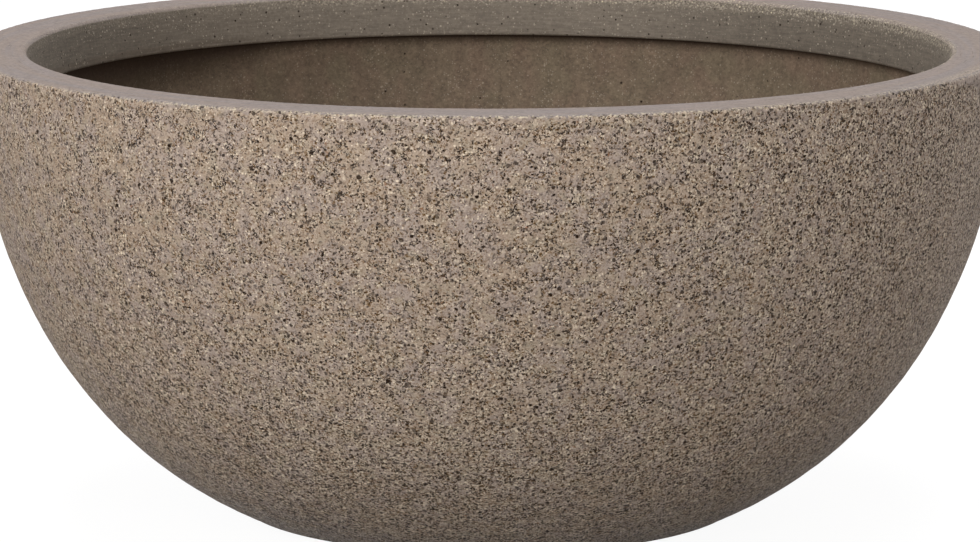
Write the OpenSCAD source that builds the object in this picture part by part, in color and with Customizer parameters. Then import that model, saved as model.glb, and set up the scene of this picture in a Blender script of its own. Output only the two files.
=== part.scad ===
// Round concrete bowl planter with a returned rim, for the floor or a terrace.
// The bowl is cast in two mixes over a steel wire cage. A sandblasted facing wraps the outside,
// a plain backing makes the inner wall and the floor, and a trowelled lip closes the mouth.
// Millimetres, +Z up. The origin is on the ground, under the middle of the bowl.
//
// Every layer of the wall follows one outline, so a layer is named by its depth behind the outer
// face. A place along the outline is given as an angle below the horizontal: 0 is where the upright
// band ends and the upper curve begins, and 90 would be flat.

/* [Outline] */
// Diameter across the rim
rim_d = 600; // [520:1:760]
// Height of the casting, from its underside to the top of the rim
casting_h = 270; // [240:1:320]
// Height of the upright band at the top of the outer face
band_h = 9; // [6:0.5:20]
// Angle at which the upper curve gives way to the middle curve
upper_end = 28.6; // [22:0.1:36]
// Radius of the middle curve
middle_r = 253; // [220:1:290]
// Angle at which the middle curve gives way to the lower curve
middle_end = 50; // [44:0.1:54]
// Radius of the lower curve
lower_r = 232.5; // [205:0.5:260]
// Angle at which the lower curve gives way to the edge of the base
lower_end = 65.3; // [62:0.1:68]
// Radius of the edge of the base
base_edge_r = 12; // [10:0.5:20]

/* [Wall] */
// Thickness of the sandblasted facing
facing_t = 8; // [5:0.5:9]
// Thickness of the wall, facing and backing together
wall_t = 26; // [24:0.5:34]
// Thickness of the floor, facing and backing together
floor_t = 30; // [26:0.5:40]
// Radius between the inner wall and the floor
floor_corner_r = 40; // [25:1:50]

/* [Rim] */
// Width of the rim at its top, before its edges are rounded
rim_w = 32; // [30:0.5:45]
// Depth of the lip that the rim turns down inside the bowl
lip_h = 27.5; // [20:0.5:40]
// Lean of the lip's inner face, which lets the mould's core out
lip_draft = 7; // [2:0.5:12]
// Height of the trowelled cap that runs out over the facing
cap_h = 4; // [2.5:0.5:6]
// Radius of the rim's outer edge
outer_arris_r = 2; // [1:0.25:2.5]
// Radius of the rim's inner edge
inner_arris_r = 3; // [1:0.25:5]
// Radius of the lip's lower edge
lip_foot_r = 1.5; // [0.5:0.25:3]

/* [Wire cage] */
// Depth of the ribs' middle behind the outer face, where they are set
rib_depth = 14.5; // [12:0.25:15]
// Angle at which the ribs end
rib_end = 56; // [54:0.5:58]
// Diameter of a rib's wire
rib_d = 4; // [3:0.5:5]
// Number of ribs
rib_count = 8; // [4:1:12]
// Diameter of a hoop's wire
hoop_d = 5; // [4:0.5:5.5]
// Diameter of the rim hoop's wire
rim_hoop_d = 6; // [4:0.5:7]
// Space for the tie between a rib and a hoop
tie_gap = 0.5; // [0.3:0.1:1]
// Depth of the rim hoop's middle below the top of the rim
rim_hoop_drop = 14; // [12:0.5:16]
// Height of the shoulder hoop above the underside
shoulder_hoop_h = 163; // [140:1:200]
// Height of the belly hoop above the underside
belly_hoop_h = 86; // [65:1:110]
// Height of the base hoop above the underside
base_hoop_h = 42; // [36:1:50]
// Height of the floor spokes' middle above the underside
spoke_h = 14; // [12:0.5:18]

/* [Drain] */
// Bore of the drain sleeve
drain_d = 30; // [20:1:40]
// Wall of the drain sleeve
sleeve_wall = 2.5; // [2:0.25:4]
// Width by which the sleeve's flange stands out from its tube
flange_w = 8.5; // [6:0.5:14]
// Thickness of the sleeve's flange
flange_t = 3; // [2:0.5:5]
// Width by which the sleeve's anchor ring stands out from its tube
anchor_w = 3.5; // [2:0.5:6]
// Height of the sleeve's anchor ring
anchor_t = 3; // [2:0.5:4]
// Concrete between the sleeve's tube and the ends of the spokes
drain_cover = 25; // [15:1:35]

/* [Plug] */
// Gap between the plug's stem and the sleeve's bore, at the flange
plug_gap = 0.3; // [0.2:0.05:0.6]
// Amount by which the stem's radius tapers over its length
plug_taper = 0.8; // [0.4:0.1:1.5]
// Length of the plug's stem
stem_l = 24; // [18:1:26]
// Width by which the plug's head overlaps the sleeve
head_overlap = 6; // [4:0.5:8]
// Thickness of the plug's head
head_t = 4; // [3:0.5:6]
// Radius of the edges of the plug's head and stem
plug_edge_r = 1.5; // [0.5:0.25:1.5]
// Clear width of the pull loop
loop_w = 23; // [18:0.5:24]
// Thickness of the pull loop
loop_t = 5; // [3:0.5:6]
// Height of the pull loop's middle above the plug's head
loop_rise = 7; // [5:0.5:8]

/* [Feet] */
// Diameter of a foot pad
foot_d = 36; // [24:1:44]
// Thickness of a foot pad
foot_h = 5; // [4:0.5:6]
// Height by which a foot pad stands out of the base
foot_proud = 2; // [1:0.5:3]
// Distance from the edge of the base's flat to the middle of a foot pad
foot_inset = 30; // [24:1:50]
// Number of foot pads
foot_count = 4; // [3:1:8]
// Gap for glue round a foot pad
glue_gap = 0.5; // [0.2:0.1:1]
// Radius of a foot pad's lower edge
foot_edge_r = 1; // [0.5:0.25:1.5]

/* [Hidden] */

$fn = 96;
// Largest step along an arc, in degrees
arc_step = 3;
// Largest step along the arc of a small rounded edge, in degrees
edge_step = 15;
// How far a cutting shape runs past what it cuts
over = 1;

// The direction at an angle below the horizontal
function below(angle) = [cos(angle), -sin(angle)];

// Heights of the casting
base_z = foot_proud;
rim_z = base_z + casting_h;
cap_z = rim_z - cap_h;
lip_z = rim_z - lip_h;
floor_z = base_z + floor_t;

// The upper curve's radius is what the other curves leave of the casting's height
upper_r = (casting_h - band_h
  - middle_r * (sin(middle_end) - sin(upper_end))
  - lower_r * (sin(lower_end) - sin(middle_end))
  - base_edge_r * (1 - sin(lower_end))) / sin(upper_end);

// Middles of the three curves, as [radius, height]
upper_c = [rim_d / 2 - upper_r, rim_z - band_h];
middle_c = upper_c + (upper_r - middle_r) * below(upper_end);
lower_c = middle_c + (middle_r - lower_r) * below(middle_end);

// The point of the layer at a depth behind the outer face, at an angle
function on_layer(depth, angle) =
  angle < upper_end ? upper_c + (upper_r - depth) * below(angle)
  : angle < middle_end ? middle_c + (middle_r - depth) * below(angle)
  : lower_c + (lower_r - depth) * below(angle);

// Points along an arc between two angles below the horizontal, without the first one
function arc(centre, r, from_angle, to_angle, step = arc_step) =
  let (count = ceil(abs(to_angle - from_angle) / step))
  [for (i = [1:count]) centre + r * below(from_angle + (to_angle - from_angle) * i / count)];

// Middle of the arc of radius r that joins a layer's lower curve to the level z
function corner_c(depth, z, r) = [
  lower_c.x + sqrt((lower_r - depth - r) ^ 2 - (lower_c.y - z - r) ^ 2),
  z + r,
];

// Outline of a layer, from the rim down the wall and round to the level z
function layer(depth, z, r) =
  let (turn = asin((lower_c.y - z - r) / (lower_r - depth - r)))
  concat(
    [[rim_d / 2 - depth, rim_z], on_layer(depth, 0)],
    arc(upper_c, upper_r - depth, 0, upper_end),
    arc(middle_c, middle_r - depth, upper_end, middle_end),
    arc(lower_c, lower_r - depth, middle_end, turn),
    arc(corner_c(depth, z, r), r, turn, 90)
  );

// Points that round a section's corner. The unit vectors u and v run from the corner along its
// edges, and the points run from the edge along u to the edge along v.
function rounded(corner, u, v, r) =
  let (half_angle = acos(u * v) / 2)
  let (inwards = (u + v) / norm(u + v))
  let (centre = corner + inwards * r / sin(half_angle))
  let (first = corner + u * r / tan(half_angle) - centre)
  let (from_angle = atan2(-first.y, first.x))
  let (turn = (180 - 2 * half_angle) * sign(cross(u, v)))
  concat([centre + first], arc(centre, r, from_angle, from_angle + turn, edge_step));

// Mouth of the lip
mouth_r = rim_d / 2 - rim_w;
lip_foot = [mouth_r - lip_h * tan(lip_draft), lip_z];
lip_lean = [sin(lip_draft), cos(lip_draft)];

// The ribs' arc passes through three points that lie rib_depth behind the outer face
rib_top = on_layer(rib_depth, 0);
rib_middle = on_layer(rib_depth, upper_end);
rib_foot = on_layer(rib_depth, rib_end);
rib_c = arc_middle(rib_top, rib_middle, rib_foot);
rib_arc_r = norm(rib_top - rib_c);

// Middle of the circle through three points
function arc_middle(a, b, c) =
  let (ab = b - a, ac = c - a)
  a + [ac.y * (ab * ab) - ab.y * (ac * ac), ab.x * (ac * ac) - ac.x * (ab * ab)]
    / (2 * cross(ab, ac));

// Angle below the horizontal from the middle of the ribs' arc to a point
function rib_angle(point) = atan2(rib_c.y - point.y, point.x - rib_c.x);

// Drain sleeve and plug
sleeve_r = drain_d / 2 + sleeve_wall;
anchor_z = base_z + floor_t / 2;
stem_r = drain_d / 2 - plug_gap;
stem_z = floor_z - stem_l;
head_r = sleeve_r + head_overlap;
loop_z = floor_z + head_t + loop_rise;

// Radius of the flat under the base
base_flat_r = corner_c(0, base_z, base_edge_r).x;

// Half section of all that lies inside a layer, down to the level z
module inside(depth, z, r) polygon(concat(layer(depth, z, r), [[0, z], [0, rim_z]]));

module outer_section() inside(0, base_z, base_edge_r);

module facing_back_section() inside(facing_t, base_z + facing_t, base_edge_r - facing_t);

module hollow_section() inside(wall_t, floor_z, floor_corner_r);

// Everything in a half section above the level z
module above(z) translate([0, z]) square([rim_d / 2 + over, rim_z - z + over]);

// The opening inside the lip, with the lip's rounded edges
module mouth_section() {
  foot = rounded(lip_foot, [1, 0], lip_lean, lip_foot_r);
  arris = rounded([mouth_r, rim_z], -lip_lean, [1, 0], inner_arris_r);
  top = arris[len(arris) - 1];
  polygon(concat(
    [[0, lip_z - over], foot[0] - [0, over]], foot, arris, [top + [0, over], [0, rim_z + over]]
  ));
}

// What the rounded outer edge leaves out of the rim's square corner
module outer_arris_cut() {
  arris = rounded([rim_d / 2, rim_z], [-1, 0], [0, -1], outer_arris_r);
  bottom = arris[len(arris) - 1];
  polygon(concat(
    arris, [bottom + [over, 0], [rim_d / 2 + over, rim_z + over], arris[0] + [0, over]]
  ));
}

// A rib's wire, bent to one arc in the plane through the bowl's axis
module rib() {
  rotate([90, 0, 0]) translate(rib_c)
    rotate_extrude(angle = rib_angle(rib_foot) - rib_angle(rib_top), start = -rib_angle(rib_foot))
      translate([rib_arc_r, 0]) circle(rib_d / 2);
}

module ribs() {
  for (i = [0:rib_count - 1]) rotate(i * 360 / rib_count) rib();
}

module spokes() {
  start_r = sleeve_r + drain_cover;
  for (i = [0:rib_count - 1]) {
    rotate(i * 360 / rib_count) translate([start_r, 0, base_z + spoke_h]) rotate([0, 90, 0])
      cylinder(d = rib_d, h = base_flat_r - start_r);
  }
}

// A ring of wire at the height z, tied to the inner side of the ribs
module hoop(z, wire_d) {
  tie_r = rib_arc_r - rib_d / 2 - tie_gap - wire_d / 2;
  rotate_extrude()
    translate([rib_c.x + sqrt(tie_r ^ 2 - (z - rib_c.y) ^ 2), z]) circle(wire_d / 2);
}

// Half section of the sleeve's outside: tube, flange and anchor ring
module sleeve_section() {
  flange_z = floor_z - flange_t;
  anchor_r = sleeve_r + anchor_w;
  polygon([
    [0, base_z], [sleeve_r, base_z],
    [sleeve_r, anchor_z - anchor_t / 2], [anchor_r, anchor_z - anchor_t / 2],
    [anchor_r, anchor_z + anchor_t / 2], [sleeve_r, anchor_z + anchor_t / 2],
    [sleeve_r, flange_z], [sleeve_r + flange_w, flange_z],
    [sleeve_r + flange_w, floor_z], [0, floor_z],
  ]);
}

module at_each_foot() {
  for (i = [0:foot_count - 1]) {
    rotate((i + 0.5) * 360 / foot_count) translate([base_flat_r - foot_inset, 0, 0]) children();
  }
}

module face_shell() color([0.56, 0.50, 0.44]) difference() {
  rotate_extrude() difference() {
    outer_section();
    facing_back_section();
    above(cap_z);
    translate([0, base_z - over]) square([sleeve_r, facing_t + 2 * over]);
  }
  at_each_foot() translate([0, 0, base_z - over])
    cylinder(r = foot_d / 2 + glue_gap, h = foot_h - foot_proud + over);
}

module backing_shell() color([0.42, 0.36, 0.30]) difference() {
  rotate_extrude() difference() {
    facing_back_section();
    hollow_section();
    above(lip_z);
    sleeve_section();
  }
  shoulder_hoop();
  belly_hoop();
  base_hoop();
  ribs();
  spokes();
}

module rim_lip() color([0.60, 0.56, 0.53]) difference() {
  rotate_extrude() difference() {
    union() {
      intersection() {
        outer_section();
        above(cap_z);
      }
      intersection() {
        facing_back_section();
        above(lip_z);
      }
    }
    mouth_section();
    outer_arris_cut();
  }
  rim_hoop();
  ribs();
}

module rim_hoop() color([0.62, 0.64, 0.66]) hoop(rim_z - rim_hoop_drop, rim_hoop_d);

module shoulder_hoop() color([0.62, 0.64, 0.66]) hoop(base_z + shoulder_hoop_h, hoop_d);

module belly_hoop() color([0.62, 0.64, 0.66]) hoop(base_z + belly_hoop_h, hoop_d);

module base_hoop() color([0.62, 0.64, 0.66]) hoop(base_z + base_hoop_h, hoop_d);

module wall_ribs() color([0.55, 0.57, 0.60]) ribs();

module floor_spokes() color([0.55, 0.57, 0.60]) spokes();

module drain_sleeve() color([0.20, 0.20, 0.21]) rotate_extrude() difference() {
  sleeve_section();
  translate([0, base_z - over]) square([drain_d / 2, floor_t + 2 * over]);
}

module drain_plug() color([0.10, 0.10, 0.11]) {
  taper = [plug_taper, stem_l] / norm([plug_taper, stem_l]);
  rotate_extrude() polygon(concat(
    [[0, stem_z]],
    rounded([stem_r - plug_taper, stem_z], [-1, 0], taper, plug_edge_r),
    [[stem_r, floor_z], [head_r, floor_z]],
    rounded([head_r, floor_z + head_t], [0, -1], [-1, 0], plug_edge_r),
    [[0, floor_z + head_t]]
  ));
  translate([0, 0, loop_z]) rotate([90, 0, 0])
    rotate_extrude() translate([(loop_w + loop_t) / 2, 0]) circle(loop_t / 2);
}

module foot_pads() color([0.12, 0.12, 0.12]) at_each_foot() rotate_extrude() polygon(concat(
  [[0, 0]],
  rounded([foot_d / 2, 0], [-1, 0], [0, 1], foot_edge_r),
  [[foot_d / 2, foot_h], [0, foot_h]]
));

face_shell();
backing_shell();
rim_lip();
rim_hoop();
shoulder_hoop();
belly_hoop();
base_hoop();
wall_ribs();
floor_spokes();
drain_sleeve();
drain_plug();
foot_pads();
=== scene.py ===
"""The looks of a round concrete bowl planter, modelled round its packed construction.

The facing, the backing and the lip are turned from outlines and worn down by displacement. The
drain sleeve, its rubber plug and the foot pads are modelled pieces, and the cast-in wire cage keeps
its own solids. Metres, +Z up, with the bowl standing on the ground over the origin.
"""

import math

import bmesh
import bpy
from bpy.props import FloatProperty, FloatVectorProperty, IntProperty, PointerProperty
from mathutils import Color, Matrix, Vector


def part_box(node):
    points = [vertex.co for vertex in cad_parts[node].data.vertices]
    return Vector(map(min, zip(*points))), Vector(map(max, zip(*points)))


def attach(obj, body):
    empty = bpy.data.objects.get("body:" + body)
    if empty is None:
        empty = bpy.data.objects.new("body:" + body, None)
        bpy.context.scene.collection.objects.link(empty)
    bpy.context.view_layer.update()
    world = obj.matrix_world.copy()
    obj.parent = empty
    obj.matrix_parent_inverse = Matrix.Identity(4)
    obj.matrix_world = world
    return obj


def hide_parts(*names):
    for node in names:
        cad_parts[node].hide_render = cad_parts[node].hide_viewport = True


bl_info = {
    "name": "Concrete Bowl Planter",
    "version": (1, 0, 0),
    "blender": (4, 5, 0),
    "location": "View3D > Sidebar > Planter",
    "description": "Models and finishes a sandblasted concrete bowl with its drain, plug and feet",
    "category": "Object",
}

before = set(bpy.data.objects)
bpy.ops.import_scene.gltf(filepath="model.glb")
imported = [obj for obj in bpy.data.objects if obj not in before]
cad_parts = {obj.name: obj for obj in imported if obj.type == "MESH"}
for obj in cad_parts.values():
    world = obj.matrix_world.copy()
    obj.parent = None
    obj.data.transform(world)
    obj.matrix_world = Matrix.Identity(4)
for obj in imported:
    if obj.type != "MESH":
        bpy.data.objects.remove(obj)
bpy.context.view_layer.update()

MM = 0.001
FULL_TURN = 2 * math.pi
WHITE = (1.0, 1.0, 1.0, 1.0)
MERGE_GAP = 0.02 * MM  # points that are closer are one
ON_SURFACE = 0.1 * MM  # a point that is closer to a surface lies on it
CRISP_TO_CRUMBLY = (-0.19, -0.06)  # the x over which the rim's inner edge changes, in metres


def low(node):
    """The lowest corner of a CAD node."""
    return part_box(node)[0]


def high(node):
    """The highest corner of a CAD node."""
    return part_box(node)[1]


# ---------------------------------------------------------------- sizes and colours


def length(name, description, default):
    return FloatProperty(
        name=name, description=description, default=default, unit="LENGTH", precision=4
    )


def angle(name, description, degrees):
    return FloatProperty(
        name=name, description=description, default=math.radians(degrees), subtype="ANGLE"
    )


def number(name, description, default):
    return FloatProperty(name=name, description=description, default=default)


def count(name, description, default):
    return IntProperty(name=name, description=description, default=default)


def watts(name, lamp_place, default):
    return number(name, f"Power of the lamp {lamp_place}, in watts", default)


def colour(name, description, red, green, blue):
    return FloatVectorProperty(
        name=name,
        description=description,
        default=(red / 255, green / 255, blue / 255),
        size=3,
        subtype="COLOR_GAMMA",
        min=0,
        max=1,
    )


class BowlSizes(bpy.types.PropertyGroup):
    """The outline of the casting, with its thicknesses and edges."""

    rim_r: length("Rim radius", "Radius across the rim's outer face", high("rim_lip").x)
    rim_z: length("Rim height", "Height of the rim's top", high("rim_lip").z)
    lip_z: length("Lip height", "Height of the lip's underside", low("rim_lip").z)
    base_z: length("Base height", "Height of the casting's underside", low("face_shell").z)
    cap_z: length("Cap height", "Height at which the facing ends", high("face_shell").z)
    floor_z: length("Floor height", "Height of the floor inside", high("drain_sleeve").z)
    band_h: length("Band height", "Height of the upright band under the rim", 9 * MM)
    upper_end: angle("Upper end", "Angle at which the upper curve ends", 28.6)
    middle_r: length("Middle radius", "Radius of the middle curve", 253 * MM)
    middle_end: angle("Middle end", "Angle at which the middle curve ends", 50)
    lower_r: length("Lower radius", "Radius of the lower curve", 232.5 * MM)
    lower_end: angle("Lower end", "Angle at which the lower curve ends", 65.3)
    base_edge_r: length("Base edge", "Radius of the edge of the base", 12 * MM)
    facing_t: length("Facing", "Thickness of the facing", 8 * MM)
    wall_t: length("Wall", "Thickness of the whole wall", 26 * MM)
    floor_corner_r: length("Floor corner", "Radius between wall and floor inside", 40 * MM)
    rim_w: length("Rim width", "Width of the rim before its edges are rounded", 32 * MM)
    lip_draft: angle("Lip draft", "Lean of the lip's inner face", 7)
    outer_arris_r: length("Outer arris", "Radius of the rim's outer edge", 2 * MM)
    inner_arris_r: length("Inner arris", "Radius of the rim's inner edge", 3 * MM)
    lip_foot_r: length("Lip foot", "Radius of the lip's lower edge", 1.5 * MM)
    drain_r: length("Drain", "Radius of the hole through the concrete", 17.5 * MM)
    flange_r: length("Flange", "Radius of the sleeve's flange", high("drain_sleeve").x)
    flange_t: length("Flange thickness", "Thickness of the sleeve's flange", 3 * MM)
    anchor_r: length("Anchor ring", "Radius of the ring that holds the sleeve", 21 * MM)
    anchor_z: length("Anchor height", "Height of the anchor ring's lower face", 15.5 * MM)
    anchor_t: length("Anchor thickness", "Thickness of the anchor ring", 3 * MM)
    bore_r: length("Bore", "Radius of the sleeve's bore", 15 * MM)
    stem_r: length("Stem", "Radius of the plug's stem at its top", 14.7 * MM)
    stem_z: length("Stem end", "Height of the stem's lower end", low("drain_plug").z)
    stem_taper: length("Stem taper", "Amount by which the stem narrows", 0.8 * MM)
    head_r: length("Head", "Radius of the plug's head", high("drain_plug").x)
    head_t: length("Head thickness", "Thickness of the plug's head", 4 * MM)
    plug_edge_r: length("Plug edges", "Radius of the plug's edges", 1.5 * MM)
    loop_z: length("Loop height", "Height of the pull loop's middle", 43 * MM)
    loop_r: length("Loop", "Radius of the pull loop's middle line", 14 * MM)
    loop_wire_r: length("Loop thickness", "Radius of the pull loop's cross section", 2.5 * MM)
    foot_r: length("Foot", "Radius of a foot pad", 18 * MM)
    foot_h: length("Foot height", "Thickness of a foot pad", high("foot_pads").z)
    foot_edge_r: length("Foot edge", "Radius of a foot pad's lower edge", 1 * MM)
    foot_ring_r: length("Foot ring", "Radius on which the foot pads lie", 113.913 * MM)
    glue_gap: length("Glue gap", "Gap for glue round a foot pad", 0.5 * MM)
    foot_count: count("Feet", "Number of foot pads", 4)
    facing_step: length("Facing step", "Distance between the rings of the facing", 3 * MM)
    inside_step: length("Inside step", "Distance between the rings of the inner wall", 4 * MM)
    hidden_step: length("Hidden step", "Distance between rings that nothing shows", 40 * MM)
    facing_segments: count("Facing sides", "Sides of a ring of the facing", 680)
    inside_segments: count("Inside sides", "Sides of a ring of the inner wall", 400)
    lip_segments: count("Lip sides", "Sides of a ring of the lip", 960)


class FinishSettings(bpy.types.PropertyGroup):
    """The colours of the finishes."""

    mortar: colour("Mortar", "Cement between the grains of the facing", 178, 160, 148)
    mortar_warm: colour("Warm mortar", "Yellower patches of the facing", 181, 160, 141)
    mortar_olive: colour("Olive mortar", "Greenish patches of the facing", 178, 161, 142)
    pale_grain: colour("Pale grain", "Quartz sand", 222, 203, 180)
    speck: colour("Speck", "Bright faces of the sand", 242, 224, 198)
    # Dark sand; also the colour of the painted shadow band above the lip's foot.
    dark_grain_and_shade: colour("Dark grain", "Dark sand", 92, 78, 66)
    rust_grain: colour("Rusty grain", "Iron-stained sand", 160, 116, 88)
    # Painted shade: near-black for pits, crevices and pinholes, and for the painted shadow under
    # the lip.
    pit_shade: colour("Pit", "Bottom of a pit", 40, 25, 14)
    rim_top: colour("Rim top", "Trowelled top of the rim", 152, 138, 130)
    rim_cool: colour("Cool rim top", "Bluish patches of the rim's top", 148, 137, 133)
    skin: colour("Skin", "Cement skin that the blasting left whole", 162, 147, 138)
    cream: colour("Cream", "Pale aggregate along the edges of the rim", 206, 192, 166)
    lip_face: colour("Lip face", "Inner face of the lip", 140, 129, 116)
    lip_speck: colour("Lip speck", "Sand that shows in the lip's inner face", 196, 184, 166)
    inside: colour("Inside", "Inner wall", 146, 128, 108)
    inside_red: colour("Red inside", "Reddish patches of the inner wall", 148, 127, 108)
    inside_olive: colour("Olive inside", "Greenish patches of the inner wall", 144, 128, 107)
    steel: colour("Wire", "Galvanised wire", 186, 190, 194)
    steel_dull: colour("Dull wire", "Duller spangles of the zinc", 150, 154, 158)
    plastic: colour("Sleeve", "Drain sleeve", 48, 48, 50)
    plastic_dusty: colour("Dusty sleeve", "Cement dust on the sleeve", 66, 64, 62)
    rubber: colour("Rubber", "Plug and foot pads", 32, 32, 34)
    rubber_dusty: colour("Dusty rubber", "Cement dust on the rubber", 56, 53, 50)


class StageSettings(bpy.types.PropertyGroup):
    """The camera, the lamps and the floor."""

    camera_x: length("Camera offset", "Camera to the right of the bowl's axis", 0.6 * MM)
    camera_distance: length("Distance", "Camera to the bowl's axis, level", 2.8467)
    camera_z: length("Camera height", "Height of the camera", 0.6299)
    camera_pitch: angle("Pitch", "Angle at which the camera looks down", 9.7995)
    focal_pixels: number("Focal length", "Focal length in pixels of the picture", 4929.8)
    picture_pixels: count("Picture width", "Width of the picture in pixels", 980)
    floor_size: length("Floor size", "Width of the floor", 24.0)
    top_power: watts("Top", "over the bowl", 87.0)
    side_power: watts("Side", "on the left", 53.0)
    low_left_power: watts("Low left", "low in front on the left", 45.5)
    low_right_power: watts("Low right", "low in front on the right", 40.5)
    back_power: watts("Back", "high up behind", 15.0)
    edge_left_power: watts("Edge left", "low behind on the left", 17.0)
    edge_right_power: watts("Edge right", "low behind on the right", 36.0)
    sky: number("Sky", "Strength of the white room's light", 0.2)


def settings():
    return bpy.context.scene.planter_sizes


def finishes():
    return bpy.context.scene.planter_finish


def linear(gamma_colour):
    """A colour as it is seen, as the shader's linear colour."""
    steps = [c / 12.92 if c <= 0.04045 else ((c + 0.055) / 1.055) ** 2.4 for c in gamma_colour]
    return (*steps, 1.0)


# ---------------------------------------------------------------- modelling by hand


def deselect_all():
    bpy.ops.object.select_all(action="DESELECT")


def put_place_in_mesh():
    """Moves the place, turn and size of what is selected into its mesh."""
    bpy.ops.object.transform_apply(location=True, rotation=True, scale=True)


def start_outline(name, start):
    """A new object in edit mode that holds one selected vertex at (radius, height)."""
    deselect_all()
    bpy.ops.mesh.primitive_plane_add(size=MM, location=(start[0], 0, start[1]))
    piece = bpy.context.object
    piece.name = name
    piece.data.name = name
    put_place_in_mesh()
    bpy.ops.object.mode_set(mode="EDIT")
    bpy.ops.mesh.select_mode(type="VERT")
    bpy.ops.mesh.select_all(action="SELECT")
    bpy.ops.mesh.merge(type="CENTER")
    return piece


def selected_vertex():
    mesh = bmesh.from_edit_mesh(bpy.context.object.data)
    return next(v.co.copy() for v in mesh.verts if v.select)


def draw_line(radius, height, steps=1):
    """Extrudes the outline's end straight to (radius, height)."""
    stride = (Vector((radius, 0, height)) - selected_vertex()) / steps
    for _ in range(steps):
        bpy.ops.mesh.extrude_region_move(TRANSFORM_OT_translate={"value": stride})


def draw_arc(centre, turn, steps):
    """Spins the outline's end round (radius, height). A positive turn rises on the right."""
    bpy.ops.mesh.spin(
        steps=steps, angle=turn, center=(centre[0], 0, centre[1]), axis=(0, 1, 0)
    )


def draw_corner(corner, beyond, radius, steps):
    """Draws towards a corner and round it, ready to go on to the place beyond."""
    here = selected_vertex()
    corner = Vector(corner)
    back = (Vector((here.x, here.z)) - corner).normalized()
    onward = (Vector(beyond) - corner).normalized()
    half_angle = back.angle(onward) / 2
    centre = corner + (back + onward).normalized() * radius / math.sin(half_angle)
    draw_line(*(corner + back * radius / math.tan(half_angle)))
    turn = math.copysign(math.pi - 2 * half_angle, onward.cross(back))
    draw_arc(centre, turn, steps)


def close_outline():
    """Joins the outline's two ends by an edge."""
    bpy.ops.mesh.select_all(action="SELECT")
    bpy.ops.mesh.remove_doubles(threshold=MERGE_GAP)
    mesh = bmesh.from_edit_mesh(bpy.context.object.data)
    ends = [v for v in mesh.verts if len(v.link_edges) == 1]
    bpy.ops.mesh.select_all(action="DESELECT")
    for end in ends:
        end.select = True
    bmesh.update_edit_mesh(bpy.context.object.data)
    if ends:
        bpy.ops.mesh.edge_face_add()


def turn_outline(segments, crease=40):
    """Turns the outline once round the upright axis and points its faces outwards."""
    bpy.ops.object.mode_set(mode="OBJECT")
    piece = bpy.context.object
    lathe = piece.modifiers.new("lathe", "SCREW")
    lathe.steps = lathe.render_steps = segments
    lathe.use_merge_vertices = True
    lathe.merge_threshold = MERGE_GAP
    bpy.ops.object.modifier_apply(modifier=lathe.name)
    bpy.ops.object.mode_set(mode="EDIT")
    bpy.ops.mesh.select_all(action="SELECT")
    bpy.ops.mesh.normals_make_consistent(inside=False)
    bpy.ops.object.mode_set(mode="OBJECT")
    bpy.ops.object.shade_smooth_by_angle(angle=math.radians(crease))


def pick(piece):
    deselect_all()
    piece.select_set(True)
    bpy.context.view_layer.objects.active = piece


def join_solids(piece, other, operation):
    """Joins the other solid to the piece, or cuts it out, and takes the other away."""
    pick(piece)
    modifier = piece.modifiers.new("joint", "BOOLEAN")
    modifier.operation = operation
    modifier.solver = "EXACT"
    modifier.object = other
    bpy.ops.object.modifier_apply(modifier=modifier.name)
    bpy.data.objects.remove(other)


def weigh(piece, name, weight_at):
    """Gives the piece a vertex group whose weights a function of the vertex's place sets."""
    group = piece.vertex_groups.new(name=name)
    for vertex in piece.data.vertices:
        weight = weight_at(vertex.co)
        if weight > 0:
            group.add([vertex.index], min(weight, 1.0), "REPLACE")
    return group


def wear(piece, name, group, depth, grain, octaves=2):
    """Wears the surface down by up to depth, in a pattern of that grain, where group says."""
    texture = bpy.data.textures.new(name, "CLOUDS")
    texture.noise_scale = grain
    texture.noise_depth = octaves
    modifier = piece.modifiers.new(name, "DISPLACE")
    modifier.texture = texture
    modifier.texture_coords = "LOCAL"
    modifier.vertex_group = group.name
    modifier.strength = depth
    modifier.mid_level = 1.0
    pick(piece)
    bpy.ops.object.modifier_apply(modifier=name)
    bpy.data.textures.remove(texture)


def smooth_step(start, end, value):
    """Rises smoothly from 0 at start to 1 at end, which may lie below start."""
    t = min(max((value - start) / (end - start), 0.0), 1.0)
    return t * t * (3 - 2 * t)


# ---------------------------------------------------------------- the outline of the casting


def below(turn):
    """The way outwards and down at an angle, as (radius, height)."""
    return Vector((math.cos(turn), -math.sin(turn)))


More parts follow.
